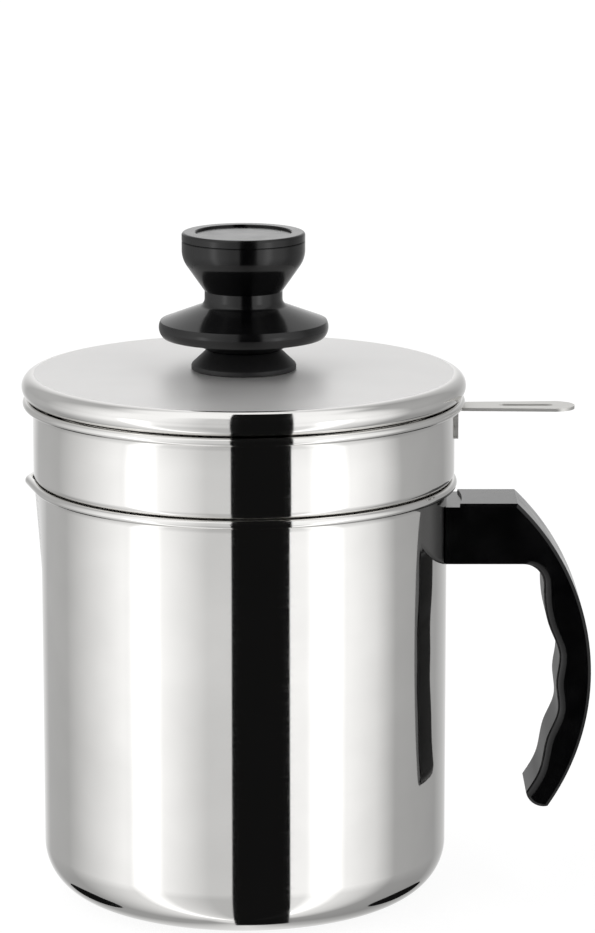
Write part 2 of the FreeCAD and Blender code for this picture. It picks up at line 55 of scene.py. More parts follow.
pot_base_rings = (20.0, 40.0)
pot_wall_rings = (45.0, 75.0)
pot_flare_z = 131.0
pot_bead = (66.7, 134.2)
pot_bead_radius = 1.4086
pot_bead_start = 227.59
lip_root_z = 105.6
lip_reach = 2.0
lip_nose = 7.0
round_steps = 320
bead_steps = 26
nearly_level = 0.02


def start_profile(name, x, z):
    """One vertex at the start of a profile in the XZ plane, in millimetres."""
    bpy.ops.object.select_all(action="DESELECT")
    bpy.ops.mesh.primitive_plane_add(size=MM, location=(x * MM, 0, z * MM))
    piece = bpy.context.object
    piece.name = piece.data.name = name
    bpy.ops.object.transform_apply(location=True, rotation=True, scale=True)
    bpy.ops.object.mode_set(mode="EDIT")
    bpy.ops.mesh.select_mode(type="VERT")
    bpy.ops.mesh.select_all(action="SELECT")
    bpy.ops.mesh.merge(type="CENTER")
    return piece


def profile_end():
    """Where the profile has got to, in millimetres."""
    mesh = bmesh.from_edit_mesh(bpy.context.edit_object.data)
    end = next(vertex for vertex in mesh.verts if vertex.select)
    return end.co.x / MM, end.co.z / MM


def draw_line(*points):
    """Carries the profile straight on to each point in turn."""
    for x, z in points:
        from_x, from_z = profile_end()
        step = ((x - from_x) * MM, 0, (z - from_z) * MM)
        bpy.ops.mesh.extrude_region_move(TRANSFORM_OT_translate={"value": step})


def draw_arc(centre, degrees, steps):
    """Carries the profile round a centre, anticlockwise with X to the right and Z up."""
    bpy.ops.mesh.spin(steps=steps, angle=math.radians(degrees), axis=(0, 1, 0),
                      center=(centre[0] * MM, 0, centre[1] * MM))


def draw_bead(centre, radius, start):
    """Carries the profile to a rolled bead, where its wall meets it, and over to its inner side."""
    meeting = math.radians(start)
    draw_line((centre[0] + radius * math.cos(meeting), centre[1] + radius * math.sin(meeting)))
    draw_arc(centre, 360 + 180 - start, bead_steps)


def turn_profile(steps):
    """Turns the profile round the pot's axis and closes its seam and its poles."""
    bpy.ops.mesh.select_all(action="SELECT")
    bpy.ops.mesh.spin(steps=steps, angle=math.tau, axis=(0, 0, 1), center=(0, 0, 0))
    bpy.ops.mesh.select_all(action="SELECT")
    bpy.ops.mesh.remove_doubles(threshold=0.01 * MM)
    bpy.ops.mesh.normals_make_consistent(inside=False)


def select_by(chosen, kind="FACE"):
    """Selects the faces or vertices of the open mesh that are chosen by place and normal."""
    bpy.ops.mesh.select_mode(type=kind)
    bpy.ops.mesh.select_all(action="DESELECT")
    piece = bpy.context.edit_object
    mesh = bmesh.from_edit_mesh(piece.data)
    for part in mesh.faces if kind == "FACE" else mesh.verts:
        place = part.calc_center_median() if kind == "FACE" else part.co
        if chosen(place / MM, part.normal):
            part.select_set(True)
    mesh.select_flush_mode()
    bmesh.update_edit_mesh(piece.data)


def from_axis(at):
    """How far a place lies from the pot's axis."""
    return math.hypot(at.x, at.y)


def outward(at, normal):
    """1 where a face looks away from the pot's axis, -1 where it looks at it and 0 where it is level."""
    return (normal.x * at.x + normal.y * at.y) / from_axis(at)


def give_finish(piece, material, chosen=None):
    """Adds a finish to the open mesh, on all of it or on its chosen faces."""
    piece.data.materials.append(material)
    if chosen:
        select_by(chosen)
        piece.active_material_index = len(piece.data.materials) - 1
        bpy.ops.object.material_slot_assign()


def finish_piece(piece, sharp=30):
    """Smooths a piece over its soft edges, with each normal led by its larger faces."""
    bpy.ops.object.mode_set(mode="OBJECT")
    bpy.ops.object.shade_smooth_by_angle(angle=math.radians(sharp))
    bpy.ops.object.modifier_add(type="WEIGHTED_NORMAL")
    piece.modifiers[-1].keep_sharp = True
    bpy.ops.object.modifier_apply(modifier=piece.modifiers[-1].name)


def linear(code):
    """A linear colour from its sRGB hex code."""
    parts = [int(code[place:place + 2], 16) / 255 for place in (0, 2, 4)]
    light = [part / 12.92 if part <= 0.04045 else ((part + 0.055) / 1.055) ** 2.4 for part in parts]
    return light + [1.0]


def feed(tree, node, inputs):
    """Sets a node's sockets, or links them where a socket is given."""
    for name, value in inputs.items():
        if isinstance(value, bpy.types.NodeSocket):
            tree.links.new(value, node.inputs[name])
        else:
            node.inputs[name].default_value = value


def add_node(tree, kind, inputs, **settings):
    """Adds a node with its settings, values and links."""
    node = tree.nodes.new(kind)
    for name, value in settings.items():
        setattr(node, name, value)
    feed(tree, node, inputs)
    return node


def set_stops(ramp, stops):
    """Sets a colour ramp's stops as places and hex codes."""
    elements = ramp.color_ramp.elements
    while len(elements) < len(stops):
        elements.new(0.5)
    for element, (place, code) in zip(elements, stops):
        element.position = place
        element.color = linear(code)


def new_finish(name):
    """A new material with its node tree, its shader and its coordinates."""
    material = bpy.data.materials.new(name)
    material.use_nodes = True
    tree = material.node_tree
    place = add_node(tree, "ShaderNodeTexCoord", {})
    return material, tree, tree.nodes["Principled BSDF"], place


def per_mm(count):
    """A noise pattern's scale for so many patches or lines to a millimetre."""
    return count / MM


# A noise pattern's values lie almost wholly between these two.
noise_low = 0.3
noise_high = 0.7

# Mirror-polished stainless steel, buffed on a wheel: it shows the room sharply, with hairlines
# round the piece that only soften the highlights. The hairlines are drawn coarser than real ones.
hairlines_along = 0.03
hairlines_across = 1.4
cloud_density = 0.045
polished_steel, tree, shader, place = new_finish("stainless_steel_mirror_polished")
hairline_map = add_node(tree, "ShaderNodeMapping", {
    "Vector": place.outputs["Object"],
    "Scale": (per_mm(hairlines_along), per_mm(hairlines_along), per_mm(hairlines_across)),
})
hairlines = add_node(tree, "ShaderNodeTexNoise", {
    "Vector": hairline_map.outputs[0],
    "Scale": 1.0,
    "Detail": 2.0,
})
cloud = add_node(tree, "ShaderNodeTexNoise", {
    "Vector": place.outputs["Object"],
    "Scale": per_mm(cloud_density),
    "Detail": 2.0,
})
tint = add_node(tree, "ShaderNodeValToRGB", {"Fac": cloud.outputs["Fac"]})
set_stops(tint, [(noise_low, "E4E3E1"), (noise_high, "EBEAE8")])
gloss = add_node(tree, "ShaderNodeMapRange", {
    "Value": hairlines.outputs["Fac"],
    "From Min": noise_low,
    "From Max": noise_high,
    "To Min": 0.03,
    "To Max": 0.07,
})
relief = add_node(tree, "ShaderNodeBump", {
    "Height": hairlines.outputs["Fac"],
    "Strength": 0.015,
    "Distance": 0.2 * MM,
})
feed(tree, shader, {
    "Base Color": tint.outputs["Color"],
    "Metallic": 1.0,
    "Roughness": gloss.outputs[0],
    "Normal": relief.outputs["Normal"],
})


def lined_steel(name, lines_along, lines_across, detail, tints, dullness, relief_strength):
    """Stainless steel with fine lines round the piece, which tint, roughen and raise it."""
    steel, tree, shader, place = new_finish(name)
    line_map = add_node(tree, "ShaderNodeMapping", {
        "Vector": place.outputs["Object"],
        "Scale": (per_mm(lines_along), per_mm(lines_along), per_mm(lines_across)),
    })
    lines = add_node(tree, "ShaderNodeTexNoise", {
        "Vector": line_map.outputs[0],
        "Scale": 1.0,
        "Detail": detail,
    })
    tint = add_node(tree, "ShaderNodeValToRGB", {"Fac": lines.outputs["Fac"]})
    set_stops(tint, [(noise_low, tints[0]), (noise_high, tints[1])])
    gloss = add_node(tree, "ShaderNodeMapRange", {
        "Value": lines.outputs["Fac"],
        "From Min": noise_low,
        "From Max": noise_high,
        "To Min": dullness[0],
        "To Max": dullness[1],
    })
    relief = add_node(tree, "ShaderNodeBump", {
        "Height": lines.outputs["Fac"],
        "Strength": relief_strength,
        "Distance": 0.1 * MM,
    })
    feed(tree, shader, {
        "Base Color": tint.outputs["Color"],
        "Metallic": 1.0,
        "Roughness": gloss.outputs[0],
        "Normal": relief.outputs["Normal"],
    })
    return steel


# Brushed stainless steel inside the pressings: a belt leaves fine lines round the wall, which
# spread each reflection upwards and leave the metal mid grey.
brushed_steel = lined_steel("stainless_steel_brushed", lines_along=0.025, lines_across=2.2, detail=4.0,
                            tints=("BEBCB8", "CCCAC6"), dullness=(0.2, 0.26), relief_strength=0.02)
tree = brushed_steel.node_tree
round_pot = add_node(tree, "ShaderNodeTangent", {}, direction_type="RADIAL", axis="Z")
feed(tree, tree.nodes["Principled BSDF"], {"Anisotropic": 0.7, "Tangent": round_pot.outputs[0]})

pot_corner_centre = (pot_radius - pot_corner, pot_corner)
pot = start_profile("pot_polished", 0, 0)
draw_line(*[(ring, 0) for ring in pot_base_rings], (pot_corner_centre[0], 0))
draw_arc(pot_corner_centre, 90, 18)
draw_line(*[(pot_radius, ring) for ring in pot_wall_rings])
draw_line((pot_radius, lip_root_z), (pot_radius, pot_flare_z))
draw_bead(pot_bead, pot_bead_radius, pot_bead_start)
draw_line((pot_inner, pot_flare_z), (pot_inner, lip_root_z))
draw_line(*[(pot_inner, ring) for ring in reversed(pot_wall_rings)], (pot_inner, pot_corner))
draw_arc(pot_corner_centre, -90, 14)
draw_line(*[(ring, pot_wall) for ring in reversed(pot_base_rings)], (0, pot_wall))
turn_profile(round_steps)

# The lip is pushed out column by column: straight sides leave the round rim at lip_turn as
# tangents, and meet its front, which is round the pot's axis.
column_angle = math.tau / round_steps
lip_turn = math.acos((pot_radius - lip_nose) / (pot_radius + lip_reach - lip_nose))
lip_columns = math.ceil(lip_turn / column_angle)
for column in range(-lip_columns, lip_columns + 1):
    angle = column * column_angle
    side_edge = pot_radius / math.cos(lip_turn - min(abs(angle), lip_turn))
    push = min(side_edge, pot_radius + lip_reach) - pot_radius
    if push <= 0:
        continue
    select_by(lambda at, normal: at.z > lip_root_z + 1
              and abs(math.atan2(at.y, -at.x) - angle) < column_angle / 10, "VERT")
    bpy.ops.transform.translate(value=(-push * math.cos(angle) * MM, push * math.sin(angle) * MM, 0))
give_finish(pot, polished_steel)
give_finish(pot, brushed_steel,
            lambda at, normal: at.z < pot_flare_z
            and (normal.z > 0.5 or outward(at, normal) < -nearly_level))
finish_piece(pot)
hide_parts("pot_shell")
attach(pot, "pot")


# Handle fixing: a bent steel plate welded to the pot's wall, with a square nut on its tongue,
# and a pan-head screw with a spring washer that pulls the handle onto it from below.
# All four are bright zinc-plated steel, slightly milky and finely grained.
plating_grain = 0.9


def refinish(material, *names):
    """Gives CAD nodes their real finish."""
    for name in names:
        nodes[name].material_slots[0].material = material


plated_steel, tree, shader, place = new_finish("steel_zinc_plated")
grain = add_node(tree, "ShaderNodeTexNoise", {
    "Vector": place.outputs["Object"],
    "Scale": per_mm(plating_grain),
    "Detail": 3.0,
})
tint = add_node(tree, "ShaderNodeValToRGB", {"Fac": grain.outputs["Fac"]})
set_stops(tint, [(0.35, "A9ABAC"), (0.65, "C6C8C9")])
gloss = add_node(tree, "ShaderNodeMapRange", {
    "Value": grain.outputs["Fac"],
    "To Min": 0.22,
    "To Max": 0.4,
})
feed(tree, shader, {"Base Color": tint.outputs["Color"], "Metallic": 1.0, "Roughness": gloss.outputs[0]})
refinish(plated_steel, "handle_bracket", "handle_nut", "handle_screw", "handle_lock_washer")


# Handle: arm and grip moulded in one from black phenolic plastic, with finger waves inside.
# It is polished after moulding, which leaves a hard deep gloss and a faint unevenness. The wheel
# doesn't reach into the waves: faces that look towards the pouring lip are duller, also on the knob.
flow_density = 0.12
bakelite, tree, shader, place = new_finish("bakelite_black_polished")
flow = add_node(tree, "ShaderNodeTexNoise", {
    "Vector": place.outputs["Object"],
    "Scale": per_mm(flow_density),
    "Detail": 2.0,
})
tint = add_node(tree, "ShaderNodeValToRGB", {"Fac": flow.outputs["Fac"]})
set_stops(tint, [(noise_low, "040405"), (noise_high, "0A0A0B")])
gloss = add_node(tree, "ShaderNodeMapRange", {
    "Value": flow.outputs["Fac"],
    "From Min": noise_low,
    "From Max": noise_high,
    "To Min": 0.13,
    "To Max": 0.2,
})
facing = add_node(tree, "ShaderNodeSeparateXYZ", {"Vector": place.outputs["Normal"]})
dull = add_node(tree, "ShaderNodeMapRange", {
    "Value": facing.outputs["X"],
    "From Min": -0.9,
    "From Max": -0.6,
    "To Min": 0.42,
    "To Max": 0.0,
})
hand_side = add_node(tree, "ShaderNodeMath", {0: gloss.outputs[0], 1: dull.outputs[0]},
                     operation="MAXIMUM")
relief = add_node(tree, "ShaderNodeBump", {
    "Height": flow.outputs["Fac"],
    "Strength": 0.05,
    "Distance": 0.5 * MM,
})
feed(tree, shader, {
    "Base Color": tint.outputs["Color"],
    "IOR": 1.5,
    "Specular IOR Level": 0.45,
    "Roughness": hand_side.outputs[0],
    "Normal": relief.outputs["Normal"],
})
refinish(bakelite, "handle_grip")


# Strainer: a stepped ring pressed from 0.8 mm stainless sheet. The wide band is mirror-polished,
# the plug below its shoulder keeps a satin finish, and its ledge carries the mesh.
sheet = 0.8
band_radius = 67.3
band_inner = band_radius - sheet
band_rings = (139.0, 148.0)
plug_radius = 63.4
plug_inner = plug_radius - sheet
plug_depth = 12.0
plug_ring_z = 129.0
drain_radius = 58.4
shoulder_fold = 0.5
step_radius = 2.5
strainer_bead_radius = 1.4
strainer_bead_start = 225.8
edge_allowance = 0.1


def heights(node):
    """A CAD node's lowest and highest point, in millimetres."""
    low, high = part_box(node)
    return low[2] / MM, high[2] / MM


plug_bottom = heights("strainer_shell")[0]
shoulder_z = plug_bottom + plug_depth
strainer_bead = (69.1, shoulder_z + 24.9)
strainer_flare_z = strainer_bead[1] - 3.2

# Satin stainless steel, as the press and a soft wheel leave it: an even light grey, with the
# tent's panels only as a slow change round the piece.
satin_steel = lined_steel("stainless_steel_satin", lines_along=0.04, lines_across=1.8, detail=3.0,
                          tints=("D6D5D2", "E0DFDC"), dullness=(0.42, 0.5), relief_strength=0.05)

plug_centre = (plug_radius - step_radius, plug_bottom + step_radius)
shoulder_centre = (band_radius - step_radius, shoulder_z + step_radius)
strainer = start_profile("strainer_pressing", drain_radius, plug_bottom)
draw_line((plug_centre[0], plug_bottom))
draw_arc(plug_centre, 90, 8)
draw_line((plug_radius, plug_ring_z), (plug_radius, shoulder_z - shoulder_fold))
draw_arc((plug_radius + shoulder_fold, shoulder_z - shoulder_fold), -90, 4)
draw_line((shoulder_centre[0], shoulder_z))
draw_arc(shoulder_centre, 90, 10)
draw_line(*[(band_radius, ring) for ring in band_rings], (band_radius, strainer_flare_z))
draw_bead(strainer_bead, strainer_bead_radius, strainer_bead_start)
draw_line((band_inner, strainer_flare_z), (band_inner, band_rings[1]), (band_inner, shoulder_centre[1]))
draw_arc(shoulder_centre, -90, 8)
draw_line((plug_inner + shoulder_fold, shoulder_z + sheet))
draw_arc((plug_inner + shoulder_fold, shoulder_z + sheet - shoulder_fold), 90, 4)
draw_line((plug_inner, plug_ring_z), (plug_inner, plug_centre[1]))
draw_arc(plug_centre, -90, 6)
draw_line((drain_radius, plug_bottom + sheet), (drain_radius, plug_bottom))
turn_profile(round_steps)
give_finish(strainer, polished_steel)

# The brushed faces are the inner walls, the shoulder's upper side and the level ring under it.
give_finish(strainer, brushed_steel,
            lambda at, normal: outward(at, normal) < -nearly_level and at.z < strainer_flare_z
            or from_axis(at) < band_inner
            and abs(at.z - shoulder_z - sheet) < shoulder_fold + edge_allowance
            or abs(outward(at, normal)) < nearly_level and abs(at.z - shoulder_z) < edge_allowance)
give_finish(strainer, satin_steel,
            lambda at, normal: at.z < shoulder_z + edge_allowance
            and from_axis(at) > plug_centre[0] - edge_allowance and outward(at, normal) > nearly_level)
finish_piece(strainer)
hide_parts("strainer_shell")
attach(strainer, "strainer")


# Strainer mesh: stainless wire, plain woven over and under, cut to a disc and clamped at its
# edge by a flat satin ring. The wires are drawn thicker and wider apart than real ones, so that
# they still show.
wire_radius = 0.2
wire_sides = 5
wire_pitch = 2.0
wire_z = sum(heights("strainer_mesh")) / 2
mesh_cut_radius = drain_radius - 0.1
wave_count = 32

# Drawn stainless wire: bright, with faint marks that the die leaves.
draw_mark_density = 1.5
woven_wire, tree, shader, place = new_finish("stainless_wire_drawn")
draw_marks = add_node(tree, "ShaderNodeTexNoise", {
    "Vector": place.outputs["Object"],
    "Scale": per_mm(draw_mark_density),
})
tint = add_node(tree, "ShaderNodeValToRGB", {"Fac": draw_marks.outputs["Fac"]})
set_stops(tint, [(0.35, "BBBAB7"), (0.65, "D6D5D2")])
gloss = add_node(tree, "ShaderNodeMapRange", {
    "Value": draw_marks.outputs["Fac"],
    "To Min": 0.15,
    "To Max": 0.3,
})
feed(tree, shader, {"Base Color": tint.outputs["Color"], "Metallic": 1.0, "Roughness": gloss.outputs[0]})


def weave(name, lift):
    """Parallel wires along X, one wave of two wires repeated over the whole disc."""
    bpy.ops.object.select_all(action="DESELECT")
    start = -wave_count * wire_pitch
    for wire in (0, 1):
        way = lift if wire == 0 else -lift
        bpy.ops.mesh.primitive_circle_add(
            vertices=wire_sides, radius=wire_radius * MM, rotation=(0, math.pi / 2, 0),
            location=(start * MM, (start + wire * wire_pitch) * MM, (wire_z + way) * MM))
        bpy.ops.object.transform_apply(location=True, rotation=True, scale=True)
        bpy.ops.object.mode_set(mode="EDIT")
        bpy.ops.mesh.select_mode(type="VERT")
        bpy.ops.mesh.select_all(action="SELECT")
        for rise in (-way, -way, way, way):
            bpy.ops.mesh.extrude_region_move(
                TRANSFORM_OT_translate={"value": (wire_pitch / 2 * MM, 0, rise * MM)})
        bpy.ops.object.mode_set(mode="OBJECT")
        if wire == 0:
            first = bpy.context.object
    first.select_set(True)
    bpy.context.view_layer.objects.active = first
    bpy.ops.object.join()
    first.name = first.data.name = name
    for direction in ((1, 0, 0), (0, 1, 0)):
        bpy.ops.object.modifier_add(type="ARRAY")
        repeat = first.modifiers[-1]
        repeat.count = wave_count
        repeat.use_relative_offset = False
        repeat.use_constant_offset = True
        repeat.constant_offset_displace = [2 * wire_pitch * MM * part for part in direction]
        repeat.use_merge_vertices = True
        repeat.merge_threshold = 0.02 * MM
        bpy.ops.object.modifier_apply(modifier=repeat.name)
    return first


along = weave("strainer_wires", wire_radius)
weave("strainer_wires_across", -wire_radius)
bpy.ops.object.mode_set(mode="EDIT")
bpy.ops.mesh.select_all(action="SELECT")
bpy.ops.transform.rotate(value=math.pi / 2, orient_axis="Z", center_override=(0, 0, 0))
bpy.ops.object.mode_set(mode="OBJECT")
along.select_set(True)
bpy.context.view_layer.objects.active = along
bpy.ops.object.join()
bpy.ops.object.mode_set(mode="EDIT")
# Each wire is cut between two of its sections, which lie on whole millimetres.
select_by(lambda at, normal: math.hypot(round(at.x), round(at.y)) > mesh_cut_radius, "VERT")
bpy.ops.mesh.delete(type="VERT")
bpy.ops.mesh.select_all(action="SELECT")
bpy.ops.mesh.delete_loose()
bpy.ops.mesh.select_all(action="SELECT")
bpy.ops.mesh.fill_holes(sides=wire_sides)
bpy.ops.mesh.select_all(action="SELECT")
bpy.ops.mesh.normals_make_consistent(inside=False)
give_finish(along, woven_wire)
bpy.ops.object.mode_set(mode="OBJECT")
bpy.ops.object.shade_smooth()
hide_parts("strainer_mesh")
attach(along, "strainer")
refinish(satin_steel, "mesh_ring")


# Strainer tab: a blanked strip of 1 mm stainless sheet with a long slot to hang it by, bent
# down at the bowl and spot-welded to it. It is left satin.
refinish(satin_steel, "strainer_tab")


# Lid: a crowned disc pressed from 0.8 mm stainless sheet, its edge rounded over and tucked in,
# with a turned-in ring welded inside that enters the strainer. Edge and ring are mirror-polished,
# the crown is buffed, and the underside is brushed.
lid_bore = 2.8
collar_radius = 65.8
collar_inner = 65.1
collar_bottom, collar_top = heights("lid_collar")
collar_depth = 10.6
collar_lip = 1.4
lid_edge_radius = 4.0
lid_edge = (66.8, collar_bottom + collar_depth)
crown_height = 1.0
crown_radius = (lid_edge[0] ** 2 + crown_height ** 2) / (2 * crown_height)
lid_top = lid_edge[1] + lid_edge_radius + crown_height
crown_centre = (0, lid_top - crown_radius)
buffed_radius = lid_edge[0] + 0.3


def crown_z(x, depth=0.0):
    """The height of the lid's crown at a distance from the axis, or of a surface under it."""
    return crown_centre[1] + math.sqrt((crown_radius - depth) ** 2 - x ** 2)


# Softly buffed stainless steel: fine scratches scatter part of the light, so the crown is an even
# light grey with hardly a reflection, and its edge stands off as a sharp line.
buff_cloud_density = 0.03
buffed_steel, tree, shader, place = new_finish("stainless_steel_buffed")
cloud = add_node(tree, "ShaderNodeTexNoise", {
    "Vector": place.outputs["Object"],
    "Scale": per_mm(buff_cloud_density),
    "Detail": 2.0,
})
tint = add_node(tree, "ShaderNodeValToRGB", {"Fac": cloud.outputs["Fac"]})
set_stops(tint, [(noise_low, "ECEBEA"), (noise_high, "F2F1F0")])
gloss = add_node(tree, "ShaderNodeMapRange", {
    "Value": cloud.outputs["Fac"],
    "From Min": noise_low,
    "From Max": noise_high,
    "To Min": 0.4,
    "To Max": 0.44,
})
feed(tree, shader, {"Base Color": tint.outputs["Color"], "Metallic": 0.6, "Roughness": gloss.outputs[0]})

edge_inner_radius = lid_edge_radius - sheet
crown_turn = math.degrees(math.atan2(lid_edge[1] - crown_centre[1], lid_edge[0]))
crown_span = 90 - crown_turn - math.degrees(math.asin(lid_bore / crown_radius))
tuck = math.degrees(math.acos((collar_radius - lid_edge[0]) / lid_edge_radius))
inner_tuck = math.degrees(math.acos((collar_radius - lid_edge[0]) / edge_inner_radius))
lid = start_profile("lid_pressing", lid_bore, crown_z(lid_bore))
draw_arc(crown_centre, -crown_span, 16)
draw_arc(lid_edge, -(crown_turn + tuck), 36)
draw_line((collar_radius, lid_edge[1] - edge_inner_radius * math.sin(math.radians(inner_tuck))))
draw_arc(lid_edge, crown_turn + inner_tuck, 24)
draw_arc(crown_centre, crown_span, 12)
draw_line((lid_bore, crown_z(lid_bore)))
turn_profile(round_steps)
give_finish(lid, polished_steel)
give_finish(lid, buffed_steel, lambda at, normal: at.z > lid_edge[1] and from_axis(at) < buffed_radius)
give_finish(lid, brushed_steel, lambda at, normal: normal.z < -0.5 and at.z > lid_edge[1])
finish_piece(lid)
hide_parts("lid_cover")
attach(lid, "lid")

lip_centre = (collar_radius - collar_lip, collar_bottom + collar_lip)
lip_top = collar_bottom + collar_radius - collar_inner
collar = start_profile("lid_ring", collar_radius, collar_top)
draw_line((collar_radius, lip_centre[1]))
draw_arc(lip_centre, -90, 8)
draw_line((lip_centre[0] - collar_lip, collar_bottom), (lip_centre[0] - collar_lip, lip_top),
          (lip_centre[0], lip_top))
draw_arc(lip_centre, 90, 6)
draw_line((collar_inner, collar_top), (collar_radius, collar_top))
turn_profile(round_steps)
give_finish(collar, polished_steel)
finish_piece(collar)
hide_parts("lid_collar")
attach(collar, "lid")


# Knob foot: a short moulded cone between knob and lid, left matt as it comes from the mould,
# so it shows dark grey with hardly any reflection.
bush_radius = 4.2
foot_radius = 16.7
foot_ring = 10.0
foot_round = 0.4
foot_edge = 172.1
foot_break_down = 0.3
foot_break = 0.25
foot_top_radius = 11.9
foot_top = heights("knob_foot")[1]
top_break_out = 0.2
top_break_down = 0.3
top_break_in = 0.1
foot_steps = 128

moulding_grain = 1.4
matt_plastic, tree, shader, place = new_finish("phenolic_black_matt")
grain = add_node(tree, "ShaderNodeTexNoise", {
    "Vector": place.outputs["Object"],
    "Scale": per_mm(moulding_grain),
    "Detail": 3.0,
})
tint = add_node(tree, "ShaderNodeValToRGB", {"Fac": grain.outputs["Fac"]})
set_stops(tint, [(noise_low, "151516"), (noise_high, "1F1F20")])
relief = add_node(tree, "ShaderNodeBump", {
    "Height": grain.outputs["Fac"],
    "Strength": 0.3,
    "Distance": 0.1 * MM,
})
feed(tree, shader, {
    "Base Color": tint.outputs["Color"],
    "IOR": 1.5,
    "Roughness": 0.48,
    "Normal": relief.outputs["Normal"],
})

foot_seat = crown_z(foot_radius)
foot = start_profile("knob_foot_cone", bush_radius, crown_z(bush_radius))
draw_line((foot_ring, crown_z(foot_ring)), (foot_radius - foot_round, foot_seat))
draw_arc((foot_radius - foot_round, foot_seat + foot_round), 90, 4)
draw_line((foot_radius, foot_edge - foot_break_down), (foot_radius - foot_break, foot_edge + foot_break))
draw_line((foot_top_radius + top_break_out, foot_top - top_break_down),
          (foot_top_radius - top_break_in, foot_top))
draw_line((bush_radius, foot_top), (bush_radius, crown_z(bush_radius)))
turn_profile(foot_steps)
give_finish(foot, matt_plastic)
finish_piece(foot)
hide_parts("knob_foot")
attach(foot, "lid")


# Knob: a dished flange, a short neck and a bowl, moulded round a brass bush in black phenolic
# plastic and polished. A cap with a bare round recess snaps into the bowl.
knob_boss = 11.5
flange_radius = 27.0
flange_z = lid_top + 15.5
flange_lip = 0.5
flange_widest_drop = 2.0
flange_ring = 22.0
flange_slope = 21.0
flange_under = (flange_radius - 1.2, flange_z - 5.0)
flange_under_share = 0.7
neck_radius = 12.4
neck_fillet = 2.5
head_radius = 19.6
seam_z = heights("knob_body")[1]
bowl_rounding = 9.0
bowl_slope = 35.0
bowl_ring = 15.0
bowl_centre = (head_radius - bowl_rounding, seam_z - 2.6)
socket_radius = 8.3
socket_depth = 6.0
knob_steps = 192


def draw_bow(middle, end, steps):
    """Carries the profile along the arc that passes a middle point."""
    start = profile_end()
    ax, az = middle[0] - start[0], middle[1] - start[1]
    bx, bz = end[0] - start[0], end[1] - start[1]
    cross = 2 * (ax * bz - az * bx)
    away = ((bz * (ax * ax + az * az) - az * (bx * bx + bz * bz)) / cross,
            (ax * (bx * bx + bz * bz) - bx * (ax * ax + az * az)) / cross)
    centre = (start[0] + away[0], start[1] + away[1])
    first = math.atan2(start[1] - centre[1], start[0] - centre[0])
    last = math.atan2(end[1] - centre[1], end[0] - centre[0])
    turn = (last - first) % math.tau if cross > 0 else -((first - last) % math.tau)
    draw_arc(centre, math.degrees(turn), steps)


slope = math.radians(flange_slope)
flange_rise = math.tan(slope)
flange_edge_x = flange_radius - flange_lip
under_middle = ((knob_boss + flange_under[0]) / 2,
                foot_top + flange_under_share * (flange_under[1] - foot_top))
flare_x = neck_radius + neck_fillet * (1 - math.sin(slope))
flare_z = flange_z + (flange_edge_x - flare_x) * flange_rise
neck_z = flare_z + neck_fillet * math.cos(slope)
bowl_spread = math.tan(math.radians(bowl_slope))
bowl_low = (bowl_centre[0] + bowl_rounding * math.cos(math.radians(bowl_slope)),
            bowl_centre[1] - bowl_rounding * math.sin(math.radians(bowl_slope)))
bowl_foot_z = bowl_low[1] - (bowl_low[0] - neck_radius) / bowl_spread
knob = start_profile("knob_turned", bush_radius, foot_top)
draw_line((knob_boss, foot_top))
draw_bow(under_middle, flange_under, 14)
draw_bow((flange_radius, flange_z - flange_widest_drop), (flange_edge_x, flange_z), 14)
draw_line((flange_ring, flange_z + (flange_edge_x - flange_ring) * flange_rise), (flare_x, flare_z))
draw_arc((neck_radius + neck_fillet, neck_z), flange_slope - 90, 10)
draw_line((neck_radius, bowl_foot_z), (bowl_ring, bowl_foot_z + (bowl_ring - neck_radius) / bowl_spread),
          bowl_low)
draw_arc(bowl_centre, bowl_slope, 14)
draw_line((head_radius, seam_z), (socket_radius, seam_z), (socket_radius, seam_z - socket_depth),
          (bush_radius, seam_z - socket_depth), (bush_radius, foot_top))
turn_profile(knob_steps)
give_finish(knob, bakelite)
finish_piece(knob)
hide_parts("knob_body")
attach(knob, "lid")

cap_top = heights("knob_cap")[1]
cap_plug_radius = 8.0
cap_plug_depth = 5.0
cap_edge = 0.9
seam_groove = 0.3
seam_height = 0.15
seam_break = 0.45
inlay_radius = 15.2
inlay_depth = 0.7
inlay_break = 0.3
inlay_break_drop = 0.25
inlay_ring = 8.0
inlay_z = cap_top - inlay_depth
cap = start_profile("knob_cap_turned", 0, seam_z - cap_plug_depth)
draw_line((cap_plug_radius, seam_z - cap_plug_depth), (cap_plug_radius, seam_z))
draw_line((head_radius - seam_groove, seam_z), (head_radius - seam_groove, seam_z + seam_height))
draw_line((head_radius, seam_z + seam_break), (head_radius, cap_top - cap_edge))
draw_arc((head_radius - cap_edge, cap_top - cap_edge), 90, 8)
draw_line((inlay_radius + inlay_break, cap_top), (inlay_radius, cap_top - inlay_break_drop))
draw_line((inlay_radius, inlay_z), (inlay_ring, inlay_z), (0, inlay_z))
turn_profile(knob_steps)
give_finish(cap, bakelite)
finish_piece(cap)
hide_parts("knob_cap")
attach(cap, "lid")


# Knob fixing: a turned brass bush moulded into the knob, and a plated screw that holds it from
# under the lid through a flat washer. The brass keeps the lathe's fine bright cuts.
cut_pitch = 0.5236
# A wave pattern of scale 1 repeats at this distance.
wave_repeat = math.tau / 20
turned_brass, tree, shader, place = new_finish("brass_turned")
cuts = add_node(tree, "ShaderNodeTexWave", {
    "Vector": place.outputs["Object"],
    "Scale": wave_repeat / (cut_pitch * MM),
    "Distortion": 1.0,
}, bands_direction="Z")
tint = add_node(tree, "ShaderNodeValToRGB", {"Fac": cuts.outputs["Fac"]})
set_stops(tint, [(0.2, "B8944A"), (0.8, "CDAA5C")])
feed(tree, shader, {"Base Color": tint.outputs["Color"], "Metallic": 1.0, "Roughness": 0.28})
refinish(turned_brass, "knob_insert")
refinish(plated_steel, "knob_washer", "knob_screw")


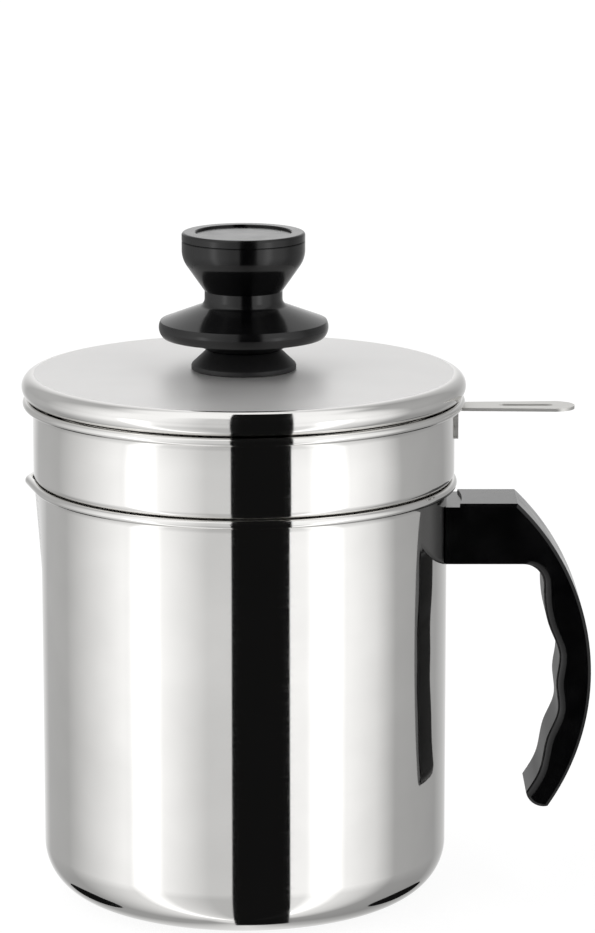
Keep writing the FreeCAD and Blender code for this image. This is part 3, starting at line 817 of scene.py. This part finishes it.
# Floor: a wide white studio table. It keeps the pot's soft shadow, and the camera sees it partly
# as a light of its own, so that it runs out into the white behind.
floor_radius = 6000.0
floor_drop = 0.3
floor_glow = 1.15
floor_glow_share = 0.75
mottle_density = 0.003
floor_white, tree, shader, place = new_finish("floor_white")
mottle = add_node(tree, "ShaderNodeTexNoise", {
    "Vector": place.outputs["Object"],
    "Scale": per_mm(mottle_density),
})
tint = add_node(tree, "ShaderNodeValToRGB", {"Fac": mottle.outputs["Fac"]})
set_stops(tint, [(noise_low, "FDFDFD"), (noise_high, "FFFFFF")])
feed(tree, shader, {"Base Color": tint.outputs["Color"], "Roughness": 1.0, "Specular IOR Level": 0.0})
seen = add_node(tree, "ShaderNodeLightPath", {})
glow = add_node(tree, "ShaderNodeEmission", {"Color": linear("FFFFFF"), "Strength": floor_glow})
blend = add_node(tree, "ShaderNodeMath", {0: seen.outputs["Is Camera Ray"], 1: floor_glow_share},
                 operation="MULTIPLY")
mix = add_node(tree, "ShaderNodeMixShader", {
    0: blend.outputs[0],
    1: shader.outputs["BSDF"],
    2: glow.outputs["Emission"],
})
feed(tree, tree.nodes["Material Output"], {"Surface": mix.outputs["Shader"]})

bpy.ops.object.select_all(action="DESELECT")
bpy.ops.mesh.primitive_circle_add(vertices=96, radius=floor_radius * MM, fill_type="NGON",
                                  location=(0, 0, -floor_drop * MM))
floor = bpy.context.object
floor.name = "floor"
bpy.ops.object.transform_apply(location=True, rotation=True, scale=True)
floor.data.materials.append(floor_white)
floor.visible_glossy = False


# Tent: pale panels all round the pot, as a studio hangs round polished metal, made as the world's
# light. The panels are given by direction in degrees, 0 in front and positive to the handle.
panels = [(-180, "F0F0F0"), (-150, "A8A8A8"), (-120, "A8A8A8"), (-90, "DCDCDC"), (-72, "F6F6F6"),
          (-45, "F6F6F6"), (-32, "E0E0E0"), (-20, "C8C8C8"), (-8, "C8C8C8"), (25, "F2F2F2"),
          (40, "F8F8F8"), (62, "F6F6F6"), (80, "DCDCDC"), (96, "A4A4A4"), (140, "989898"),
          (165, "C0C0C0"), (180, "F0F0F0")]
world = bpy.data.worlds.new("studio_tent")
bpy.context.scene.world = world
world.use_nodes = True
tree = world.node_tree
tree.nodes.clear()
place = add_node(tree, "ShaderNodeTexCoord", {})
parts = add_node(tree, "ShaderNodeSeparateXYZ", {"Vector": place.outputs["Generated"]})
toward = add_node(tree, "ShaderNodeMath", {0: parts.outputs["Y"], 1: -1.0}, operation="MULTIPLY")
bearing = add_node(tree, "ShaderNodeMath", {0: parts.outputs["X"], 1: toward.outputs[0]},
                   operation="ARCTAN2")
height = add_node(tree, "ShaderNodeMath", {0: parts.outputs["Z"]}, operation="ARCSINE")
share = add_node(tree, "ShaderNodeMapRange", {
    "Value": bearing.outputs[0],
    "From Min": -math.pi,
    "From Max": math.pi,
})
ring = add_node(tree, "ShaderNodeValToRGB", {"Fac": share.outputs[0]})
set_stops(ring, [(angle / 360 + 0.5, code) for angle, code in panels])

# Two soft boxes stand low behind the tent: polished walls burn out there and black plastic shows
# them, while the lid's crown looks over them.
soft_boxes = [(-68, "000000"), (-57, "FFFFFF"), (-46, "000000"),
              (36, "000000"), (48, "FFFFFF"), (60, "000000")]
box_fades = 8.0
box_full = 2.0
box_light = 1.0
tent_light = 1.25
boxes = add_node(tree, "ShaderNodeValToRGB", {"Fac": share.outputs[0]})
set_stops(boxes, [(angle / 360 + 0.5, code) for angle, code in soft_boxes])
low = add_node(tree, "ShaderNodeMapRange", {
    "Value": height.outputs[0],
    "From Min": math.radians(box_fades),
    "From Max": math.radians(box_full),
}, interpolation_type="SMOOTHSTEP")
low_boxes = add_node(tree, "ShaderNodeMath", {0: boxes.outputs["Color"], 1: low.outputs[0]},
                     operation="MULTIPLY")
strength = add_node(tree, "ShaderNodeMath", {0: low_boxes.outputs[0], 1: box_light, 2: tent_light},
                    operation="MULTIPLY_ADD")

# The tent's roof, and the table straight below, are one even white.
roof_starts = 50.0
roof_full = 66.0
table_starts = -78.0
table_full = -84.0
tent_white = "F4F4F4"
roof_share = add_node(tree, "ShaderNodeMapRange", {
    "Value": height.outputs[0],
    "From Min": math.radians(roof_starts),
    "From Max": math.radians(roof_full),
}, interpolation_type="SMOOTHSTEP")
table_share = add_node(tree, "ShaderNodeMapRange", {
    "Value": height.outputs[0],
    "From Min": math.radians(table_starts),
    "From Max": math.radians(table_full),
}, interpolation_type="SMOOTHSTEP")
with_roof = add_node(tree, "ShaderNodeMixRGB", {
    "Fac": roof_share.outputs[0],
    "Color1": ring.outputs["Color"],
    "Color2": linear(tent_white),
})
with_table = add_node(tree, "ShaderNodeMixRGB", {
    "Fac": table_share.outputs[0],
    "Color1": with_roof.outputs["Color"],
    "Color2": linear(tent_white),
})

# The tent is open in front of the pot, which polished metal shows as one black upright strip. It
# is seen straight up the pot's wall and round its corner, where the wall's reflection leans back
# under the pot, so its edges are drawn against a point behind the pot.
sight_share = -0.5
sight_start = 0.489
sight_limit = 0.33
opening_middle = 9.2
opening_half = 15.6
beyond = add_node(tree, "ShaderNodeMath", {0: parts.outputs["Y"], 1: sight_share, 2: sight_start},
                  operation="MULTIPLY_ADD")
aside = add_node(tree, "ShaderNodeMath", {0: parts.outputs["X"], 1: beyond.outputs[0]},
                 operation="ARCTAN2")
inside = add_node(tree, "ShaderNodeMath", {
    0: aside.outputs[0],
    1: math.radians(opening_middle),
    2: math.radians(opening_half),
}, operation="COMPARE")
nearer = add_node(tree, "ShaderNodeMath", {0: beyond.outputs[0], 1: sight_limit},
                  operation="GREATER_THAN")
opening = add_node(tree, "ShaderNodeMath", {0: inside.outputs[0], 1: nearer.outputs[0]},
                   operation="MULTIPLY")

# A dark gap shows where the side panels meet the table, thin and tapered towards the front. Its
# height falls towards the front, along gap_slope and gap_offset.
gap_slope = 1.26
gap_offset = -125.9
gap_starts = 48.0
gap_full = 68.0
gap_width = 0.9
gap_ends = 75.0
off_axis = add_node(tree, "ShaderNodeMath", {0: aside.outputs[0]}, operation="ABSOLUTE")
gap_line = add_node(tree, "ShaderNodeMath", {
    0: off_axis.outputs[0],
    1: gap_slope,
    2: math.radians(gap_offset),
}, operation="MULTIPLY_ADD")
gap_away = add_node(tree, "ShaderNodeMath", {0: height.outputs[0], 1: gap_line.outputs[0]},
                    operation="SUBTRACT")
gap_taper = add_node(tree, "ShaderNodeMapRange", {
    "Value": off_axis.outputs[0],
    "From Min": math.radians(gap_starts),
    "From Max": math.radians(gap_full),
    "To Max": math.radians(gap_width),
})
gap_side = add_node(tree, "ShaderNodeMath", {0: off_axis.outputs[0], 1: math.radians(gap_ends)},
                    operation="LESS_THAN")
gap_clear = add_node(tree, "ShaderNodeMath", {0: gap_away.outputs[0], 1: 0.0, 2: gap_taper.outputs[0]},
                     operation="COMPARE")
gap = add_node(tree, "ShaderNodeMath", {0: gap_side.outputs[0], 1: gap_clear.outputs[0]},
               operation="MULTIPLY")
dark = add_node(tree, "ShaderNodeMath", {0: opening.outputs[0], 1: gap.outputs[0]},
                operation="MAXIMUM")

# The panels are a little greyer just above the horizon, which the lid's crown shows, and greyer
# still towards the table, which the foot of the wall shows.
horizon_grey = 0.95
horizon_grey_top = 7.0
horizon_clear = 20.0
foot_grey = 0.78
foot_grey_top = -30.0
foot_clear = -14.0
horizon_share = add_node(tree, "ShaderNodeMapRange", {
    "Value": height.outputs[0],
    "From Min": math.radians(horizon_grey_top),
    "From Max": math.radians(horizon_clear),
    "To Min": horizon_grey,
    "To Max": 1.0,
})
below = add_node(tree, "ShaderNodeMath", {0: height.outputs[0], 1: 0.0}, operation="LESS_THAN")
foot_share = add_node(tree, "ShaderNodeMapRange", {
    "Value": height.outputs[0],
    "From Min": math.radians(foot_grey_top),
    "From Max": math.radians(foot_clear),
    "To Min": foot_grey,
    "To Max": 1.0,
})
upper = add_node(tree, "ShaderNodeMath", {0: horizon_share.outputs[0], 1: below.outputs[0]},
                 operation="MAXIMUM")
dimming = add_node(tree, "ShaderNodeMath", {0: upper.outputs[0], 1: foot_share.outputs[0]},
                   operation="MULTIPLY")
dimmed = add_node(tree, "ShaderNodeMixRGB", {
    "Fac": 1.0,
    "Color1": with_table.outputs["Color"],
    "Color2": dimming.outputs[0],
}, blend_type="MULTIPLY")
tent = add_node(tree, "ShaderNodeMixRGB", {
    "Fac": dark.outputs[0],
    "Color1": dimmed.outputs["Color"],
    "Color2": linear("101010"),
})

# The camera itself looks past the tent at plain white.
lit = add_node(tree, "ShaderNodeBackground", {
    "Color": tent.outputs["Color"],
    "Strength": strength.outputs[0],
})
white = add_node(tree, "ShaderNodeBackground", {"Color": linear("FFFFFF"), "Strength": 1.0})
seen = add_node(tree, "ShaderNodeLightPath", {})
mix = add_node(tree, "ShaderNodeMixShader", {
    0: seen.outputs["Is Camera Ray"],
    1: lit.outputs[0],
    2: white.outputs[0],
})
add_node(tree, "ShaderNodeOutputWorld", {"Surface": mix.outputs[0]})


# Camera: a long lens 1.3 m in front of the pot and a little above it, tilted down by about 12
# degrees. Its view leaves room above the pot for the strainer and the lid when they are lifted.
camera_place = (17.1, -1300.0, 410.6)
camera_tilt = 78.18
camera_lens = 160.1
camera = bpy.data.objects.new("camera", bpy.data.cameras.new("camera"))
bpy.context.scene.collection.objects.link(camera)
camera.location = [part * MM for part in camera_place]
camera.rotation_euler = (math.radians(camera_tilt), 0, 0)
camera.data.sensor_fit = "VERTICAL"
camera.data.sensor_height = 36.0
camera.data.lens = camera_lens
bpy.context.scene.camera = camera
bpy.context.scene.view_settings.view_transform = "Standard"
